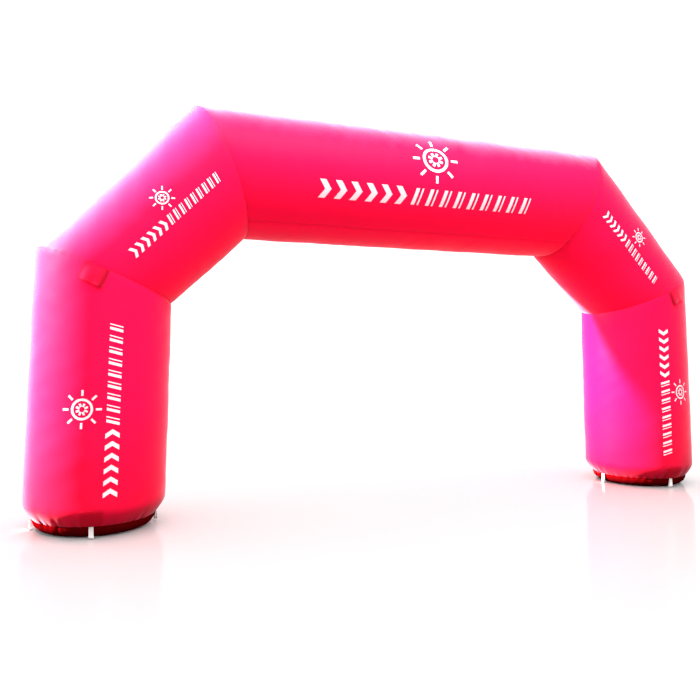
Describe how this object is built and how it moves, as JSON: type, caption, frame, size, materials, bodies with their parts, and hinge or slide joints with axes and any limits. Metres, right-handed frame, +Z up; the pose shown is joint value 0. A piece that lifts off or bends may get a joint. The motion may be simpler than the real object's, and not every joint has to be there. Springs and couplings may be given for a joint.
{
  "type": "inflatable arch",
  "caption": "Free-standing inflatable arch of round cloth tubes, with mitred corners, bulging bases and webbing loops at the feet.",
  "frame": {"origin": "middle of the footprint, on the ground", "axes": "+Z up, +X along the arch's span from its left leg to its right leg, -Y out of its front"},
  "size_m": [7.368, 1.2796, 3.9109],
  "materials": {
    "arch_cloth": "coated woven nylon, satin sheen, crimson red",
    "base_cloth": "coated woven nylon, matt, dark red",
    "patch_cloth": "coated woven nylon, doubled, dark red",
    "webbing": "woven polyester webbing, white",
    "print_ink": "white screen print on the cloth, matt"
  },
  "bodies": {
    "root": {"leg_left": "arch_cloth", "shoulder_left": "arch_cloth", "leg_right": "arch_cloth", "shoulder_right": "arch_cloth", "beam_panel": "arch_cloth", "beam_under_panel": "arch_cloth", "base_left": "base_cloth", "base_right": "base_cloth", "base_patch_left_front": "patch_cloth", "elbow_patch_left_front": "arch_cloth", "base_patch_left_back": "patch_cloth", "elbow_patch_left_back": "arch_cloth", "loop_left_front": "webbing", "loop_left_back": "webbing", "loop_left_inner": "webbing", "loop_left_outer": "webbing", "base_patch_right_front": "patch_cloth", "elbow_patch_right_front": "arch_cloth", "base_patch_right_back": "patch_cloth", "elbow_patch_right_back": "arch_cloth", "loop_right_front": "webbing", "loop_right_back": "webbing", "loop_right_inner": "webbing", "loop_right_outer": "webbing"}
  },
  "joints": []
}
